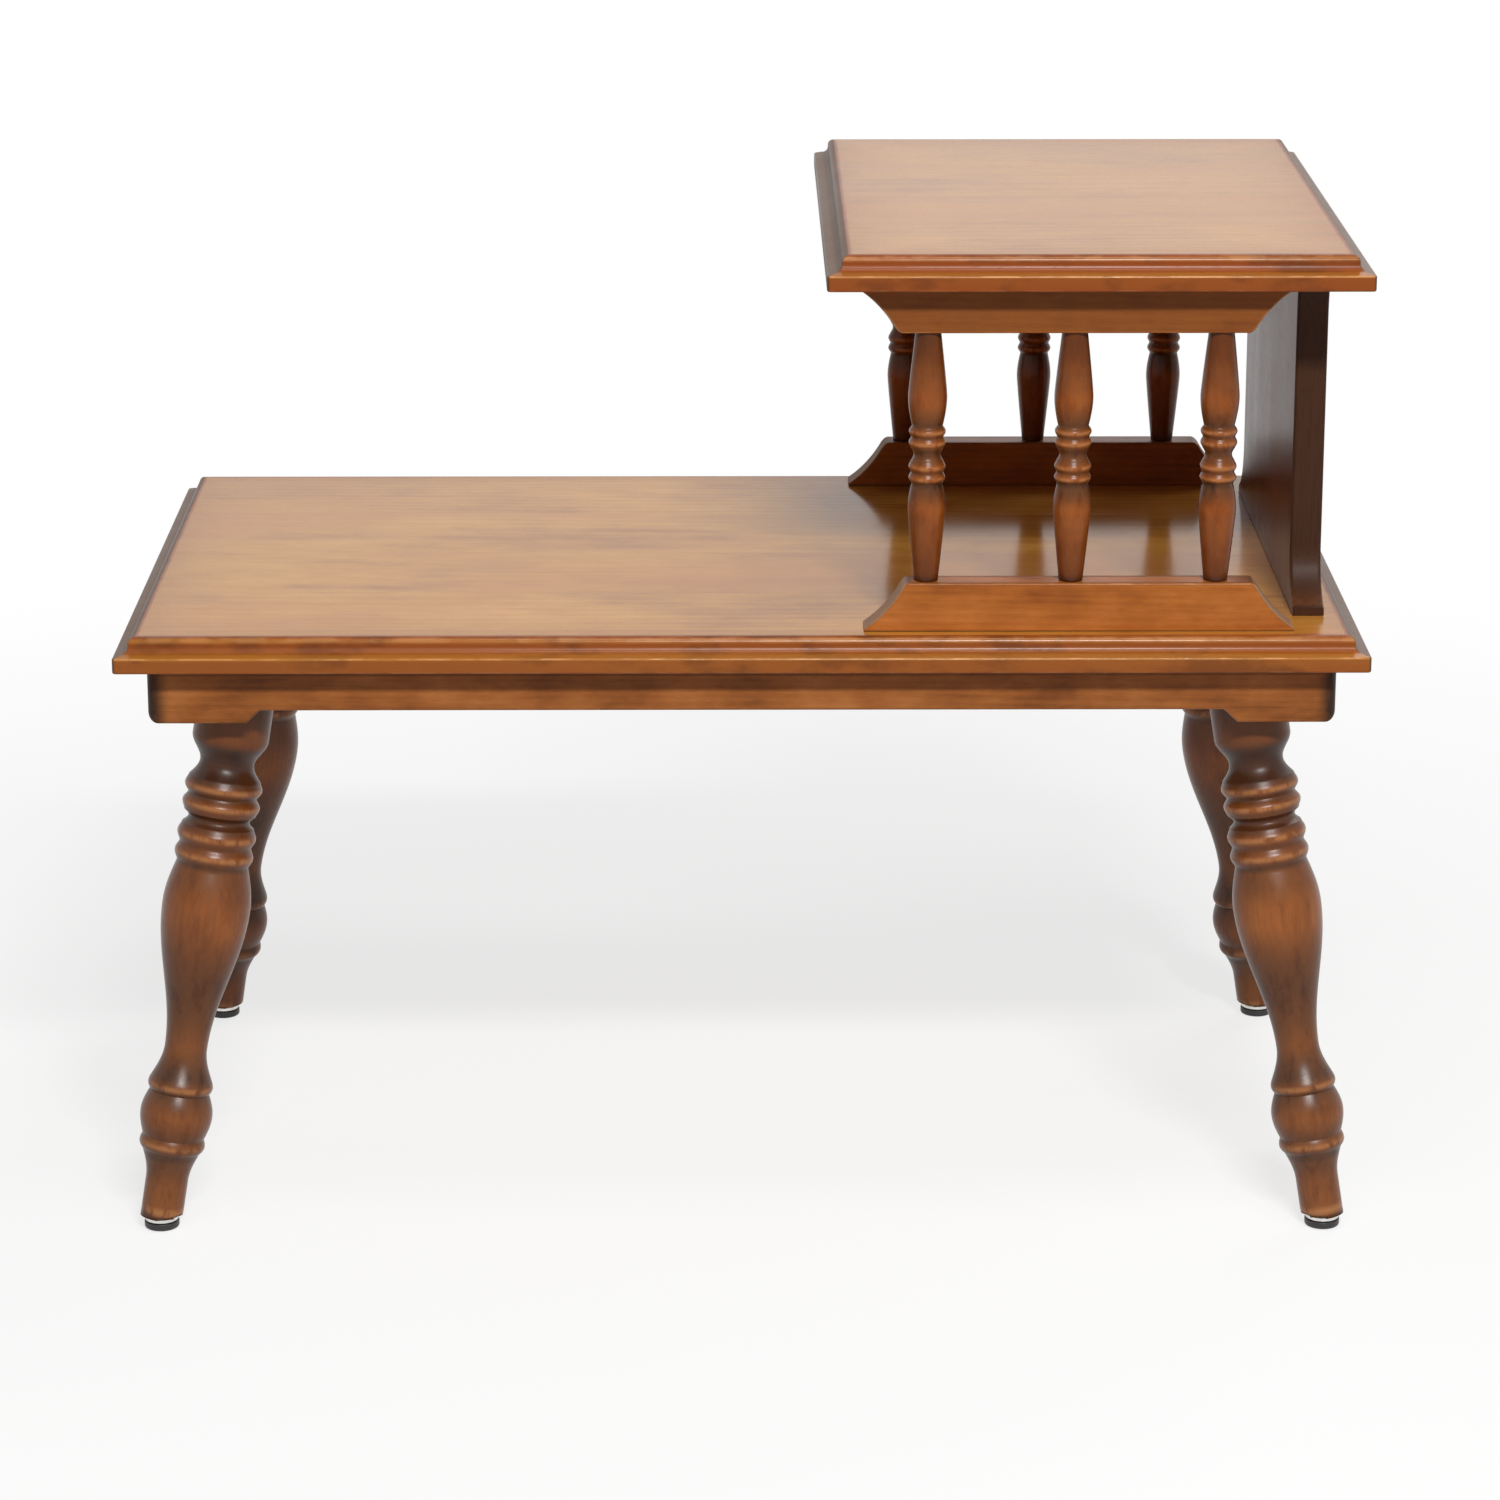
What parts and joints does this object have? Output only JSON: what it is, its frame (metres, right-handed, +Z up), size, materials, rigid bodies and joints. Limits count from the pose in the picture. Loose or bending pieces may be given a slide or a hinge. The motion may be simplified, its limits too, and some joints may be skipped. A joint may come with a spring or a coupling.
{
  "type": "two-tier end table",
  "caption": "Wooden step end table: moulded lower top on splayed turned legs, with a raised upper top carried by turned spindle galleries and a shaped end panel.",
  "frame": {"origin": "on the floor, under the middle of the lower top", "axes": "+X along the table towards the raised tier, +Y from the front gallery to the back one, +Z up"},
  "size_m": [0.711, 0.419, 0.5793],
  "materials": {
    "top_wood": "satin lacquer over amber stain",
    "apron_wood": "satin lacquer over red-brown stain",
    "rail_wood": "satin lacquer over amber-brown stain",
    "turned_wood": "satin lacquer over dark brown stain, paler on the bellies",
    "panel_wood": "satin lacquer over very dark brown stain",
    "bare_wood": "unfinished, sawn",
    "glide_metal": "bright nickel plate",
    "glide_pad": "matte black",
    "fastener_steel": "zinc-plated"
  },
  "bodies": {
    "root": {"lower_top": "top_wood", "upper_top": "top_wood", "front_apron": "apron_wood", "back_apron": "apron_wood", "front_lower_rail": "rail_wood", "front_upper_rail": "rail_wood", "back_lower_rail": "rail_wood", "back_upper_rail": "rail_wood", "front_left_leg": "turned_wood", "front_right_leg": "turned_wood", "back_left_leg": "turned_wood", "back_right_leg": "turned_wood", "front_spindle_1": "turned_wood", "front_spindle_2": "turned_wood", "front_spindle_3": "turned_wood", "back_spindle_1": "turned_wood", "back_spindle_2": "turned_wood", "back_spindle_3": "turned_wood", "end_panel": "panel_wood", "left_leg_cleat": "bare_wood", "right_leg_cleat": "bare_wood", "front_rail_dowel_left": "bare_wood", "front_rail_dowel_right": "bare_wood", "back_rail_dowel_left": "bare_wood", "back_rail_dowel_right": "bare_wood", "panel_dowel_front": "bare_wood", "panel_dowel_back": "bare_wood", "front_left_glide_washer": "glide_metal", "front_right_glide_washer": "glide_metal", "back_left_glide_washer": "glide_metal", "back_right_glide_washer": "glide_metal", "front_left_glide_pad": "glide_pad", "front_right_glide_pad": "glide_pad", "back_left_glide_pad": "glide_pad", "back_right_glide_pad": "glide_pad", "front_left_glide_nail": "fastener_steel", "front_right_glide_nail": "fastener_steel", "back_left_glide_nail": "fastener_steel", "back_right_glide_nail": "fastener_steel", "front_apron_screw_left": "fastener_steel", "front_apron_screw_middle": "fastener_steel", "front_apron_screw_right": "fastener_steel", "back_apron_screw_left": "fastener_steel", "back_apron_screw_middle": "fastener_steel", "back_apron_screw_right": "fastener_steel", "left_cleat_screw_front": "fastener_steel", "left_cleat_screw_middle": "fastener_steel", "left_cleat_screw_back": "fastener_steel", "right_cleat_screw_front": "fastener_steel", "right_cleat_screw_middle": "fastener_steel", "right_cleat_screw_back": "fastener_steel", "front_rail_screw_left": "fastener_steel", "front_rail_screw_right": "fastener_steel", "back_rail_screw_left": "fastener_steel", "back_rail_screw_right": "fastener_steel", "panel_screw_front": "fastener_steel", "panel_screw_back": "fastener_steel"}
  },
  "joints": []
}
